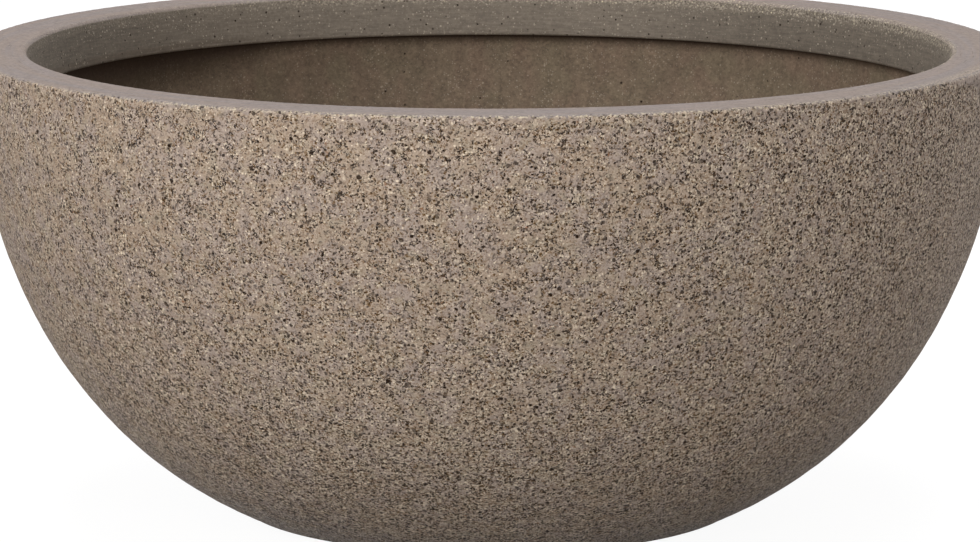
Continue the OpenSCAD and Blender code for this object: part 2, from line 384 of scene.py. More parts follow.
class Outline:
    """The curves of the outer face, as (radius, height), which every layer of the wall follows."""

    def __init__(self, size):
        self.size = size
        ends = (size.upper_end, size.middle_end, size.lower_end)
        upper, middle, lower = (math.sin(end) for end in ends)
        self.upper_r = (
            size.rim_z
            - size.base_z
            - size.band_h
            - size.middle_r * (middle - upper)
            - size.lower_r * (lower - middle)
            - size.base_edge_r * (1 - lower)
        ) / upper
        self.upper_c = Vector((size.rim_r - self.upper_r, size.rim_z - size.band_h))
        self.middle_c = self.upper_c + (self.upper_r - size.middle_r) * below(size.upper_end)
        self.lower_c = self.middle_c + (size.middle_r - size.lower_r) * below(size.middle_end)

    def facing_back(self):
        """Depth, level and corner radius of the facing's back, which the backing lies against."""
        back_t = self.size.facing_t
        return back_t, self.size.base_z + back_t, self.size.base_edge_r - back_t

    def corner(self, depth, level, radius):
        """Middle of the arc that joins a layer's lower curve to a level, and where it starts."""
        reach = self.size.lower_r - depth - radius
        drop = self.lower_c.y - level - radius
        centre = Vector((self.lower_c.x + math.sqrt(reach**2 - drop**2), level + radius))
        return centre, math.asin(drop / reach)

    def upper_curve(self, depth, height):
        """Where a layer's upper curve crosses a height: its angle there, and its radius."""
        bend_r = self.upper_r - depth
        turn = math.asin(max(self.upper_c.y - height, 0) / bend_r)
        return turn, self.upper_c.x + bend_r * math.cos(turn)

    def bends(self, depth, level, radius, top):
        """The arcs of a layer from the height top down to a level, as (middle, radius, angle)."""
        size = self.size
        centre, turn = self.corner(depth, level, radius)
        top_turn, _ = self.upper_curve(depth, top)
        return (
            (self.upper_c, self.upper_r - depth, size.upper_end - top_turn),
            (self.middle_c, size.middle_r - depth, size.middle_end - size.upper_end),
            (self.lower_c, size.lower_r - depth, turn - size.middle_end),
            (centre, radius, math.pi / 2 - turn),
        )

    def depth_at(self, place):
        """How far a place lies behind the outer face, above the edge of the base."""
        size = self.size
        spot = Vector((math.hypot(place.x, place.y), place.z))
        if spot.y >= self.upper_c.y:
            return size.rim_r - spot.x
        for middle, bend_r, bend_end in (
            (self.upper_c, self.upper_r, size.upper_end),
            (self.middle_c, size.middle_r, size.middle_end),
            (self.lower_c, size.lower_r, math.pi / 2),
        ):
            reach = spot - middle
            if math.atan2(-reach.y, reach.x) <= bend_end:
                return bend_r - reach.length
        return size.rim_r

    def draw_down(self, depth, level, radius, top, step):
        """Draws a layer from the height top down the wall and round to the level."""
        for middle, bend_r, bend in self.bends(depth, level, radius, top):
            draw_arc(middle, -bend, max(2, round(bend_r * bend / step)))

    def draw_up(self, depth, level, radius, top, step):
        """Draws a layer from the level round and up the wall to the height top."""
        for middle, bend_r, bend in reversed(self.bends(depth, level, radius, top)):
            draw_arc(middle, bend, max(2, round(bend_r * bend / step)))
        if top > self.upper_c.y:
            draw_line(self.size.rim_r - depth, top)


# ---------------------------------------------------------------- finishes


class NodeTree:
    """The node tree of a material or a world, emptied and then filled node by node."""

    def __init__(self, owner):
        owner.use_nodes = True
        self.tree = owner.node_tree
        self.tree.nodes.clear()

    def put(self, socket, value):
        """Links an output to the socket or sets the socket, and makes a seen colour linear."""
        if isinstance(value, Output):
            value = value.socket
        if isinstance(value, bpy.types.NodeSocket):
            self.tree.links.new(value, socket)
        elif isinstance(value, Color):
            socket.default_value = linear(value)
        elif value is not None:
            grey_for_colour = socket.type == "RGBA" and isinstance(value, float)
            socket.default_value = (value, value, value, 1.0) if grey_for_colour else value

    def add(self, kind, *inputs, **options):
        """A new node, with its options and its first inputs set."""
        node = self.tree.nodes.new("ShaderNode" + kind)
        for name, value in options.items():
            setattr(node, name, value)
        for socket, value in zip(node.inputs, inputs, strict=False):
            self.put(socket, value)
        return node

    def output(self, kind, *inputs, which=0, **options):
        """One of the outputs of a new node."""
        return Output(self, self.add(kind, *inputs, **options).outputs[which])

    def fill(self, node, inputs):
        """Sets or links the node's inputs by their names."""
        for name, value in inputs.items():
            self.put(node.inputs[name], value)


class Output:
    """A node's output. Sums and the methods below add a node that works on it."""

    def __init__(self, nodes, socket):
        self.nodes = nodes
        self.socket = socket

    def math(self, operation, *values):
        return self.nodes.output("Math", self, *values, operation=operation)

    def __abs__(self):
        return self.math("ABSOLUTE")

    def __add__(self, value):
        return self.math("ADD", value)

    def __sub__(self, value):
        return self.math("SUBTRACT", value)

    def __rsub__(self, value):
        return self.nodes.output("Math", value, self, operation="SUBTRACT")

    def __mul__(self, value):
        return self.math("MULTIPLY", value)

    def __truediv__(self, value):
        return self.math("DIVIDE", value)

    def __pow__(self, value):
        return self.math("POWER", value)

    def scaled(self, factor, offset):
        """The value times the factor, plus the offset."""
        return self.math("MULTIPLY_ADD", factor, offset)

    def most(self, other):
        """The higher of the two values."""
        return self.math("MAXIMUM", other)

    def step(self, start, end):
        """Rises smoothly from 0 at start to 1 at end, which may lie below start."""
        return self.nodes.output("MapRange", self, start, end, interpolation_type="SMOOTHSTEP")

    def ramp(self, *stops):
        """A grey ramp through (position, level) stops."""
        ramp = self.nodes.output("ValToRGB", self)
        elements = ramp.socket.node.color_ramp.elements
        while len(elements) < len(stops):
            elements.new(0.5)
        for element, (position, level) in zip(elements, stops, strict=True):
            element.position = position
            element.color = (level, level, level, 1)
        return ramp


class Pattern(NodeTree):
    """A finish that is worked out from the place on the object."""

    def __init__(self, material):
        super().__init__(material)
        self.place = self.output("TexCoord", which="Object")

    def axes(self):
        """The place's three coordinates."""
        return [Output(self, axis) for axis in self.add("SeparateXYZ", self.place).outputs]

    def radius(self):
        """The place's distance from the upright axis."""
        x, y, _ = self.axes()
        return x.scaled(x, y * y).math("SQRT")

    def drawn_out(self, factors):
        """The place times factors along its axes. A pattern on it is longer where they are low."""
        return self.output("VectorMath", self.place, factors, operation="MULTIPLY")

    def moved(self, place, way):
        return self.output("VectorMath", place, way, operation="ADD")

    def warp(self, size, reach):
        """The place, pushed about by up to half of reach in a pattern of that size."""
        cloud, middle = self.noise(size, 2, which="Color"), (0.5, 0.5, 0.5)
        push = self.output("VectorMath", cloud, middle, operation="SUBTRACT")
        push = self.output("VectorMath", push, None, None, reach, operation="SCALE")
        return self.moved(self.place, push)

    def noise(self, size, detail, roughness=0.5, place=None, which="Fac"):
        """Cloudy noise from 0 to 1. Detail adds finer clouds, which roughness makes stronger."""
        place = place or self.place
        return self.output("TexNoise", place, None, 1 / size, detail, roughness, which=which)

    def cells(self, size, place=None):
        """Cells of a size: the distance to their middles, and three random values for each."""
        cells = self.add("TexVoronoi", place or self.place, None, 1 / size).outputs
        random = self.add("SeparateColor", cells["Color"]).outputs
        return Output(self, cells["Distance"]), [Output(self, value) for value in random]

    def spots(self, size, reach, share, place=None):
        """Round spots in a share of the cells of a size, 0.5 to 1 strong. reach is in cells."""
        near, (chance, breadth, strength) = self.cells(size, place)
        reach = breadth.scaled(0.6 * reach, 0.7 * reach)
        spot = (near - reach).step(0.03, -0.03)
        return spot * strength.scaled(0.5, 0.5) * chance.math("LESS_THAN", share)

    def mottle(self, size, darkest):
        """Grains of a size and of half of it, each with its own grey level down to darkest."""
        coarse, fine = (
            self.cells(grain)[1][0].ramp((0.0, darkest), (1.0, 1.0)) for grain in (size, 0.5 * size)
        )
        return self.shaded(coarse, fine)

    def mix(self, factor, a, b, blend="MIX"):
        """Colour a where factor is 0, running over to colour b where it is 1."""
        inputs = (factor, *[None] * 5, a, b)
        return self.output("Mix", *inputs, which=2, data_type="RGBA", blend_type=blend)

    def shaded(self, tint, *levels):
        """The colour times grey levels or other colours."""
        for level in levels:
            tint = self.mix(1.0, tint, level, "MULTIPLY")
        return tint


def new_material(name):
    material = bpy.data.materials.new(name)
    pattern = Pattern(material)
    shader = pattern.add("BsdfPrincipled")
    pattern.add("OutputMaterial", shader.outputs[0])
    return material, pattern, shader


def finish_shader(pattern, shader, tint, rough, height, depth, shine=0.25):
    """Wires a pattern's colour, roughness and height into the shader. depth is in metres."""
    bump = pattern.add("Bump")
    pattern.fill(bump, {"Distance": depth, "Height": height})
    pattern.fill(shader, {"Base Color": tint, "Roughness": rough, "Normal": bump.outputs[0]})
    pattern.fill(shader, {"Specular IOR Level": shine})


def mortar_tint(pattern):
    """The mortar's colour, which drifts between mauve, warm and olive, but less on the right."""
    look = finishes()
    x, _, _ = pattern.axes()
    drift = x.step(0.1, 0.27).scaled(-0.75, 1.0)
    warm = pattern.noise(16 * MM, 3).step(0.40, 0.60) * drift
    tint = pattern.mix(warm, look.mortar, look.mortar_warm)
    olive = pattern.noise(8 * MM, 2).step(0.5, 0.72) * drift
    return pattern.mix(olive, tint, look.mortar_olive)


def blasting(pattern):
    """How hard the face was blasted, from 0 to 1: hardest low down and on the right."""
    x, _, height = pattern.axes()
    return height.step(0.2, 0.06).most(x.step(0.02, 0.24))


def add_sand(pattern, place, tint, rough, blast):
    """Sand, each grain with its own lightness, as strong as rough says: (colour, depth in mm)."""
    mean_level, whole_level = 0.56, 0.92
    brown = (1.15, 0.83, 0.42, 1.0)
    near, (random, _, _) = pattern.cells(0.8 * MM, place)
    fine = random.ramp((0.0, 0.05), (0.2, 0.42), (0.5, 0.66), (0.8, 0.80), (1.0, 1.0))
    coarse_near, (_, random, _) = pattern.cells(1.5 * MM, place)
    coarse = random.ramp((0.0, 0.68), (0.4, 0.88), (1.0, 1.0))
    level = (fine * coarse / mean_level) ** blast.scaled(0.8, 1.25)
    level = pattern.mix(rough, whole_level, level * blast.scaled(0.14, 1.0))
    shade = level.math("MINIMUM", 1.0)
    browning = pattern.mix(level.step(0.1, 0.95), brown, WHITE)
    tint = pattern.shaded(tint, shade, browning)
    tint = pattern.mix((level - shade) * 0.5, tint, finishes().pale_grain)
    return tint, near.scaled(0.3, coarse_near * 0.5)


def add_grains(pattern, place, tint, rough, cut, blast):
    """Larger grains, and bright specks where cut is 1: (colour, depth in mm)."""
    look = finishes()
    near, (kind, rusty, strength) = pattern.cells(1.9 * MM, place)
    inside = near.step(0.44, 0.34) * rough * strength.scaled(0.7, 0.15)
    tint = pattern.mix(inside * kind.step(0.74, 0.76), tint, look.pale_grain)
    tint = pattern.mix(inside * kind.step(0.12, 0.10), tint, look.dark_grain_and_shade)
    tint = pattern.mix(inside * rusty.step(0.97, 0.98), tint, look.rust_grain)
    share = blast.scaled(0.12, rough.scaled(0.20, 0.08)) * cut
    small = pattern.spots(1.5 * MM, 0.36, share, place)
    large = pattern.spots(2.1 * MM, 0.38, blast * 0.10 * cut, place)
    return pattern.mix(small.most(large) * 0.85, tint, look.speck), near * 0.6


def holes(pattern, place, rough, cut, blast):
    """1 inside the crevices between grains and in the pits, 0 on the face."""
    ridge = abs(pattern.noise(3.1 * MM, 2, 0.6) - 0.5)
    crevice = (ridge - blast.scaled(-0.010, 0.022)).step(0.012, -0.008)
    broken = pattern.noise(2.4 * MM, 2).step(0.50, 0.58)
    hole = crevice * (broken * (rough * blast.scaled(-0.6, 1.0)))
    share = blast.scaled(0.20, rough.scaled(0.18, 0.05)) * cut
    for size, reach, pits in (
        (2.2 * MM, 0.31, share * 0.7),
        (1.4 * MM, 0.40, share),
        (1.7 * MM, 0.42, blast * 0.22 * cut),
        (4.6 * MM, 0.20, blast.scaled(0.25, 0.35)),
    ):
        hole = hole.most(pattern.spots(size, reach, pits, place))
    return hole


def blasted_concrete(pattern):
    """Mortar blasted down to its sand, but left whole under the rim: (colour, height in mm)."""
    calm = rim_margin(pattern)
    cut = 1.0 - calm
    blast = blasting(pattern)
    rough = pattern.noise(7 * MM, 3, 0.6).step(0.60, 0.42).scaled(0.66, 0.34)
    rough = rough.most(blast * 0.5) * cut
    place = pattern.warp(2.2 * MM, 2.0 * MM)
    tint = pattern.mix(calm, mortar_tint(pattern), finishes().skin)
    tint, sand_depth = add_sand(pattern, place, tint, rough, blast)
    tint, grain_depth = add_grains(pattern, place, tint, rough, cut, blast)
    hole = holes(pattern, place, rough, cut, blast)
    # Painted shade: crevices and pits go near-black, over their dent in the bump.
    tint = pattern.mix(hole, tint, finishes().pit_shade)
    depth = (sand_depth + grain_depth) * 0.6 * blast.scaled(-0.3, 1.0) * rough
    return tint, hole.scaled(1.5, depth) * -1.0


def rim_margin(pattern):
    """How whole the blasting left the strip under the rim, which is widest at the far right."""
    x, _, height = pattern.axes()
    width = pattern.noise(60 * MM, 1).step(0.4, 0.7).scaled(3.5 * MM, 0.5 * MM)
    width = x.step(0.24, 0.29).scaled(12 * MM, width)
    depth = pattern.noise(4 * MM, 3).scaled(9 * MM, settings().rim_z - height)
    return (depth - width).step(5 * MM, 2 * MM) * 0.75


def facing_material():
    """The blasted facing, with a faint cool sheen of dust."""
    material, pattern, shader = new_material("sandblasted_facing")
    tint, relief = blasted_concrete(pattern)
    finish_shader(pattern, shader, tint, 0.92, relief, 1.0 * MM, shine=0.08)
    cool = linear((0.92, 0.95, 1.0))
    pattern.fill(shader, {"Sheen Weight": 0.13, "Sheen Tint": cool, "Sheen Roughness": 0.3})
    return material


def rim_top_finish(pattern, along):
    """The rim's flat top, smooth with faint marks: (colour, height in mm)."""
    look = finishes()
    cool = pattern.noise(9 * MM, 3, place=along).step(0.42, 0.62)
    tint = pattern.mix(cool, look.rim_top, look.rim_cool)
    cloud = pattern.noise(3 * MM, 3, place=along).ramp((0.3, 0.92), (0.7, 1.0))
    tint = pattern.shaded(tint, pattern.shaded(cloud, pattern.mottle(2.2 * MM, 0.82)))
    mark = pattern.noise(1.8 * MM, 1, place=along).step(0.66, 0.76)
    mark = mark.most(pattern.spots(4 * MM, 0.17, 0.35))
    return pattern.mix(mark * 0.4, tint, look.dark_grain_and_shade), mark * -0.2


def lip_face_finish(pattern, along):
    """The lip's inner face, trowelled round, with sand, pinholes and painted shade: (colour, height
    in mm).
    """
    look, size = finishes(), settings()
    x, _, height = pattern.axes()
    line = pattern.noise(1.3 * MM, 2, place=along)
    cloud = pattern.noise(22 * MM, 3).ramp((0.3, 0.92), (0.7, 1.0))
    # Painted shade: the face grows darker towards both ends, more on the left.
    ends = x.step(0.06, 0.2).scaled(-0.22, x.step(-0.16, -0.26).scaled(-0.3, 1.0))
    shade = line.ramp((0.3, 0.76), (0.7, 1.0))
    shade = pattern.shaded(shade, cloud, pattern.mottle(2.0 * MM, 0.84), ends)
    tint = pattern.shaded(look.lip_face, shade)
    foot = height - size.lip_z
    # Painted shadow: a dark band just above the lip's foot, on the left.
    shadow = foot.step(6 * MM, 3.5 * MM) * foot.step(1 * MM, 3 * MM)
    left = x.step(-0.12, -0.19) * 0.35
    tint = pattern.mix(shadow * left, tint, look.dark_grain_and_shade)
    cluster = pattern.noise(13 * MM, 2).step(0.42, 0.62)
    high_up = height.step(size.lip_z + 8 * MM, size.rim_z - 3 * MM)
    share = cluster.scaled(0.3, high_up.scaled(0.35, 0.12))
    fine = pattern.spots(1.2 * MM, 0.3, share * 0.6) * 0.6
    speck = pattern.spots(2.2 * MM, 0.24, share).most(fine)
    tint = pattern.mix(speck * 0.55, tint, look.lip_speck)
    relief = speck.scaled(0.1, line * 0.15)
    return add_pinholes(pattern, pattern.spots(4 * MM, 0.15, 0.36), tint, relief)


def add_pinholes(pattern, pinhole, tint, relief):
    """Pinholes in a finish, dented and painted near-black as painted shade: (colour, height in mm).
    """
    return pattern.mix(pinhole, tint, finishes().pit_shade), pinhole.scaled(-0.8, relief)


def add_inner_arris(pattern, radius, tint, relief):
    """The crumbly inner edge of the rim, faint on the left: (colour, height in mm)."""
    look, size = finishes(), settings()
    x, _, height = pattern.axes()
    ragged = pattern.noise(2.5 * MM, 2)
    mouth_r = size.rim_r - size.rim_w
    inwards = ragged.scaled(5 * MM, radius).step(mouth_r + 6.2 * MM, mouth_r + 4.2 * MM)
    upwards = ragged.scaled(6 * MM, height).step(size.rim_z - 4.5 * MM, size.rim_z - 2 * MM)
    band = inwards * upwards * x.step(*CRISP_TO_CRUMBLY).scaled(0.8, 0.2)
    tint = pattern.mix(band * 0.3, tint, look.lip_face)
    clump = pattern.noise(1.4 * MM, 2).step(0.44, 0.62) * (band * 0.45)
    tint = pattern.mix(clump, tint, look.lip_speck)
    tint = pattern.mix(pattern.spots(1.7 * MM, 0.3, 0.3) * band, tint, look.cream)
    pinhole = pattern.spots(2.6 * MM, 0.2, 0.4) * band
    return add_pinholes(pattern, pinhole, tint, clump.scaled(0.8, relief))


def add_outer_arris(pattern, radius, tint, relief):
    """The lip's blasted outer face, and the beads of cream sand on its edge."""
    size = settings()
    x, y, height = pattern.axes()
    concrete, blasted = blasted_concrete(pattern)
    outwards = pattern.noise(3 * MM, 2).scaled(3 * MM, radius)
    face = outwards.step(size.rim_r + 0.4 * MM, size.rim_r + 1.2 * MM)
    tint = pattern.mix(face, tint, concrete)
    relief = pattern.mix(face, relief, blasted)
    edge = outwards + x.step(0.18, 0.27).scaled(7 * MM, 2.0 * MM)
    near_edge = edge.step(size.rim_r - 1 * MM, size.rim_r + 4 * MM) * y.step(0.02, -0.06)
    near_edge = near_edge * height.step(size.rim_z - 2 * MM, size.rim_z - 1 * MM)
    middle = abs(x).step(0.26, 0.10)
    bead = pattern.noise(1.4 * MM, 3).step(0.47, 0.62) * middle.scaled(0.55, 0.35)
    tint = pattern.mix(bead * near_edge, tint, finishes().cream)
    pinhole = pattern.spots(2.4 * MM, 0.26, 0.5) * near_edge
    return add_pinholes(pattern, pinhole, tint, relief)


def lip_material():
    """Smooth on top, streaked inside, crumbly at its edges and blasted outside."""
    material, pattern, shader = new_material("trowelled_lip")
    _, _, height = pattern.axes()
    radius = pattern.radius()
    along = pattern.moved(pattern.drawn_out((0.1, 0.1, 1.0)), radius)
    on_top = height.step(settings().rim_z - 2.4 * MM, settings().rim_z - 1.6 * MM)
    face_tint, face_relief = lip_face_finish(pattern, along)
    top_tint, top_relief = rim_top_finish(pattern, along)
    tint = pattern.mix(on_top, face_tint, top_tint)
    relief = pattern.mix(on_top, face_relief, top_relief)
    tint, relief = add_inner_arris(pattern, radius, tint, relief)
    tint, relief = add_outer_arris(pattern, radius, tint, relief)
    finish_shader(pattern, shader, tint, 0.85, relief, 1.0 * MM)
    return material


def painted_shade_under_lip(pattern):
    """Grey level of the wall: painted shadow close under the lip, reaching furthest down on the
    left.
    """
    x, _, height = pattern.axes()
    reach = x.step(-0.11, -0.25).scaled(41 * MM, 8.5 * MM)
    part = (settings().lip_z - height) / reach
    return part.ramp((0.0, 0.03), (0.15, 0.11), (0.39, 0.38), (0.65, 0.73), (1.0, 1.0))


def inside_material():
    """The plain backing: brown, cloudy from hand laying, with pin specks of sand."""
    look = finishes()
    material, pattern, shader = new_material("plain_backing")
    upright = pattern.drawn_out((1.0, 1.0, 0.35))
    red = pattern.noise(18 * MM, 3, place=upright).step(0.42, 0.62)
    tint = pattern.mix(red, look.inside, look.inside_red)
    olive = pattern.noise(30 * MM, 2).step(0.5, 0.66)
    tint = pattern.mix(olive, tint, look.inside_olive)
    cloud = pattern.noise(8 * MM, 4, 0.6, place=upright)
    shade = pattern.shaded(cloud.ramp((0.3, 0.78), (0.7, 1.0)), pattern.mottle(1.7 * MM, 0.74))
    tint = pattern.shaded(tint, shade)
    share = pattern.noise(16 * MM, 2).step(0.45, 0.65).scaled(0.32, 0.08)
    speck = pattern.spots(2.2 * MM, 0.22, share).most(pattern.spots(1.3 * MM, 0.3, share))
    tint = pattern.mix(speck * 0.42, tint, look.lip_speck)
    # Painted shadow: the wall runs to near-black close under the lip.
    tint = pattern.mix(painted_shade_under_lip(pattern), look.pit_shade, tint)
    tint, relief = add_pinholes(pattern, pattern.spots(6 * MM, 0.1, 0.12), tint, cloud * 0.4)
    finish_shader(pattern, shader, tint, 0.88, relief, 1.0 * MM)
    return material


def sleeve_material():
    """Dark plastic, dusted with cement."""
    material, pattern, shader = new_material("sleeve_plastic")
    speck = pattern.noise(0.8 * MM, 3)
    tint = pattern.mix(speck, finishes().plastic, finishes().plastic_dusty)
    rough = speck.ramp((0.3, 0.42), (0.7, 0.55))
    finish_shader(pattern, shader, tint, rough, speck, 0.05 * MM)
    return material


def rubber_material(name):
    """Black rubber with a fine grain and cloudy dust."""
    material, pattern, shader = new_material(name)
    grain = pattern.noise(0.6 * MM, 3)
    dust = pattern.noise(9 * MM, 3).step(0.45, 0.75)
    tint = pattern.mix(dust, finishes().rubber, finishes().rubber_dusty)
    rough = grain.ramp((0.3, 0.6), (0.7, 0.75))
    finish_shader(pattern, shader, tint, rough, grain, 0.06 * MM)
    return material


def wire_material():
    """Galvanised wire: bright zinc with duller cloudy spangles."""
    material, pattern, shader = new_material("galvanised_wire")
    _, (dull, _, _) = pattern.cells(1.6 * MM)
    tint = pattern.mix(dull, finishes().steel, finishes().steel_dull)
    rough = dull.ramp((0.0, 0.3), (1.0, 0.5))
    finish_shader(pattern, shader, tint, rough, pattern.noise(0.5 * MM, 2), 0.05 * MM)
    pattern.fill(shader, {"Metallic": 1.0})
    return material


def dress(piece, material):
    piece.data.materials.clear()
    piece.data.materials.append(material)


# ---------------------------------------------------------------- pieces


class PLANTER_OT_facing(bpy.types.Operator):
    """Turns the sandblasted facing, wears its surface and sinks the pockets for the feet"""

    bl_idname = "planter.facing"
    bl_label = "Facing"

    def execute(self, context):
        size = settings()
        outline = Outline(size)
        depth, level, corner_r = outline.facing_back()
        facing = start_outline("facing", (size.rim_r, size.cap_z))
        draw_line(size.rim_r, outline.upper_c.y, steps=2)
        outline.draw_down(0, size.base_z, size.base_edge_r, size.cap_z, size.facing_step)
        draw_line(size.drain_r, size.base_z, steps=12)
        draw_line(size.drain_r, level)
        draw_line(outline.corner(depth, level, corner_r)[0].x, level)
        outline.draw_up(depth, level, corner_r, size.cap_z, size.hidden_step)
        close_outline()
        turn_outline(size.facing_segments)

        def blasted(place):
            on_side = place.z > size.base_z + ON_SURFACE
            if on_side and outline.depth_at(place) < ON_SURFACE:
                return smooth_step(size.cap_z, size.cap_z - 5 * MM, place.z)
            return 0

        face = weigh(facing, "blasted face", blasted)
        wear(facing, "trowel waves", face, depth=0.7 * MM, grain=70 * MM)
        wear(facing, "blasting", face, depth=0.5 * MM, grain=9 * MM, octaves=4)
        join_solids(facing, foot_pockets(), "DIFFERENCE")
        facing.vertex_groups.clear()
        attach(facing, "bowl")
        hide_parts("face_shell")
        dress(facing, facing_material())
        return {"FINISHED"}


def foot_places():
    """The middles of the foot pads, as (x, y)."""
    size = settings()
    for i in range(size.foot_count):
        turn = (i + 0.5) * FULL_TURN / size.foot_count
        yield size.foot_ring_r * math.cos(turn), size.foot_ring_r * math.sin(turn)


def foot_pockets():
    """One solid that fills the pockets of all the foot pads and runs out below the base."""
    size = settings()
    deselect_all()
    pockets = []
    for x, y in foot_places():
        bpy.ops.mesh.primitive_cylinder_add(
            vertices=96,
            radius=size.foot_r + size.glue_gap,
            depth=2 * size.foot_h,
            location=(x, y, 0),
        )
        pockets.append(bpy.context.object)
    for pocket in pockets:
        pocket.select_set(True)
    bpy.ops.object.join()
    put_place_in_mesh()
    return bpy.context.object


class PLANTER_OT_backing(bpy.types.Operator):
    """Turns the plain backing, which is the inner wall and the floor"""

    bl_idname = "planter.backing"
    bl_label = "Backing"

    def execute(self, context):
        size = settings()
        outline = Outline(size)
        depth, level, corner_r = outline.facing_back()
        backing = start_outline("backing", (size.drain_r, level))
        draw_line(outline.corner(depth, level, corner_r)[0].x, level)
        outline.draw_up(depth, level, corner_r, size.lip_z, size.hidden_step)
        draw_line(outline.upper_curve(size.wall_t, size.lip_z)[1], size.lip_z)
        corner_r = size.floor_corner_r
        outline.draw_down(size.wall_t, size.floor_z, corner_r, size.lip_z, size.inside_step)
        draw_line(size.flange_r, size.floor_z, steps=24)
        for place in sleeve_side(size):
            draw_line(*place)
        close_outline()
        turn_outline(size.inside_segments)

        def off_drain(place):
            on_wall = outline.depth_at(place) > size.wall_t - ON_SURFACE
            if on_wall and place.z < size.lip_z - 4 * MM:
                radius = math.hypot(place.x, place.y)
                return smooth_step(size.flange_r, size.flange_r + 15 * MM, radius)
            return 0

        wall = weigh(backing, "inner wall", off_drain)
        wear(backing, "hand laying", wall, depth=0.9 * MM, grain=60 * MM)
        wear(backing, "float marks", wall, depth=0.3 * MM, grain=14 * MM, octaves=3)
        backing.vertex_groups.clear()
        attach(backing, "bowl")
        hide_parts("backing_shell")
        dress(backing, inside_material())
        return {"FINISHED"}


def sleeve_side(size):
    """The places along the sleeve's outer side, from its flange down to its anchor ring."""
    flange_z = size.floor_z - size.flange_t
    anchor_top = size.anchor_z + size.anchor_t
    return (
        (size.flange_r, flange_z),
        (size.drain_r, flange_z),
        (size.drain_r, anchor_top),
        (size.anchor_r, anchor_top),
        (size.anchor_r, size.anchor_z),
        (size.drain_r, size.anchor_z),
    )


class PLANTER_OT_lip(bpy.types.Operator):
    """Turns the trowelled lip round the mouth and chips its edges"""

    bl_idname = "planter.lip"
    bl_label = "Lip"

    def execute(self, context):
        size = settings()
        outline = Outline(size)
        mouth_r = size.rim_r - size.rim_w
        foot_r = mouth_r - (size.rim_z - size.lip_z) * math.tan(size.lip_draft)
        turn, start_r = outline.upper_curve(size.facing_t, size.lip_z)
        mouth = (mouth_r, size.rim_z)
        foot = (foot_r, size.lip_z)
        lip = start_outline("lip", (start_r, size.lip_z))
        draw_arc(outline.upper_c, turn, steps=4)
        draw_line(size.rim_r - size.facing_t, size.cap_z)
        draw_line(size.rim_r, size.cap_z)
        draw_corner((size.rim_r, size.rim_z), mouth, size.outer_arris_r, steps=6)
        draw_line(mouth_r + 8 * MM, size.rim_z, steps=10)
        draw_corner(mouth, foot, size.inner_arris_r, steps=8)
        draw_line(foot_r + 1 * MM, size.lip_z + 8 * MM, steps=9)
        draw_corner(foot, (start_r, size.lip_z), size.lip_foot_r, steps=5)
        close_outline()
        turn_outline(size.lip_segments)

        def outer_arris(place):
            radius = math.hypot(place.x, place.y)
            near_edge = smooth_step(size.rim_r - 3 * MM, size.rim_r - 1.2 * MM, radius)
            return near_edge * smooth_step(size.cap_z + 0.2 * MM, size.rim_z - 1.5 * MM, place.z)

        def inner_arris(place):
            inwards = mouth_r + 3.5 * MM - math.hypot(place.x, place.y)
            near_edge = smooth_step(0, 2 * MM, inwards)
            fade = smooth_step(size.rim_z - 9 * MM, size.rim_z - 4 * MM, place.z)
            crumbly = smooth_step(*CRISP_TO_CRUMBLY, place.x)
            return near_edge * fade * (0.15 + 0.85 * crumbly)

        outer = weigh(lip, "outer arris", outer_arris)
        wear(lip, "outer arris", outer, depth=0.5 * MM, grain=3.5 * MM, octaves=3)
        inner = weigh(lip, "inner arris", inner_arris)
        wear(lip, "inner arris", inner, depth=0.9 * MM, grain=4 * MM, octaves=3)
        lip.vertex_groups.clear()
        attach(lip, "bowl")
        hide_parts("rim_lip")
        dress(lip, lip_material())
        return {"FINISHED"}


class PLANTER_OT_drain(bpy.types.Operator):
    """Turns the drain sleeve with its flange and its anchor ring"""

    bl_idname = "planter.drain"
    bl_label = "Drain sleeve"

    def execute(self, context):
        size = settings()
        base_z, floor_z = size.base_z, size.floor_z
        ease = 0.5 * MM
        sleeve = start_outline("plastic_sleeve", (size.bore_r, (base_z + floor_z) / 2))
        draw_corner((size.bore_r, base_z), (size.drain_r, base_z), ease, steps=3)
        draw_corner((size.drain_r, base_z), (size.drain_r, floor_z), ease, steps=3)
        for place in reversed(sleeve_side(size)):
            draw_line(*place)
        draw_corner((size.flange_r, floor_z), (size.bore_r, floor_z), ease, steps=3)
        draw_corner((size.bore_r, floor_z), (size.bore_r, base_z), ease, steps=3)
        close_outline()
        turn_outline(segments=96, crease=50)
        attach(sleeve, "bowl")
        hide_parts("drain_sleeve")
        dress(sleeve, sleeve_material())
        return {"FINISHED"}


class PLANTER_OT_plug(bpy.types.Operator):
    """Turns the rubber plug, and joins a pull loop with flared feet to its head"""

    bl_idname = "planter.plug"
    bl_label = "Drain plug"

    def execute(self, context):
        size = settings()
        top_z = size.floor_z + size.head_t
        toe_r = size.stem_r - size.stem_taper
        plug = start_outline("rubber_plug", (0, size.stem_z))
        draw_corner((toe_r, size.stem_z), (size.stem_r, size.floor_z), size.plug_edge_r, steps=5)
        draw_line(size.stem_r, size.floor_z)
        draw_line(size.head_r, size.floor_z)
        draw_corner((size.head_r, top_z), (0, top_z), size.plug_edge_r, steps=6)
        groove_r = size.head_r - 4 * MM
        for inwards, down in ((0, 0), (0.3 * MM, 0.5 * MM), (1.2 * MM, 0.5 * MM), (1.5 * MM, 0)):
            draw_line(groove_r - inwards, top_z - down)
        draw_line(0, top_z)
        turn_outline(segments=96, crease=35)
        join_solids(plug, pull_loop(top_z), "UNION")
        bpy.ops.object.shade_smooth_by_angle(angle=math.radians(35))
        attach(plug, "plug")
        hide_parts("drain_plug")
        dress(plug, rubber_material("plug_rubber"))
        return {"FINISHED"}


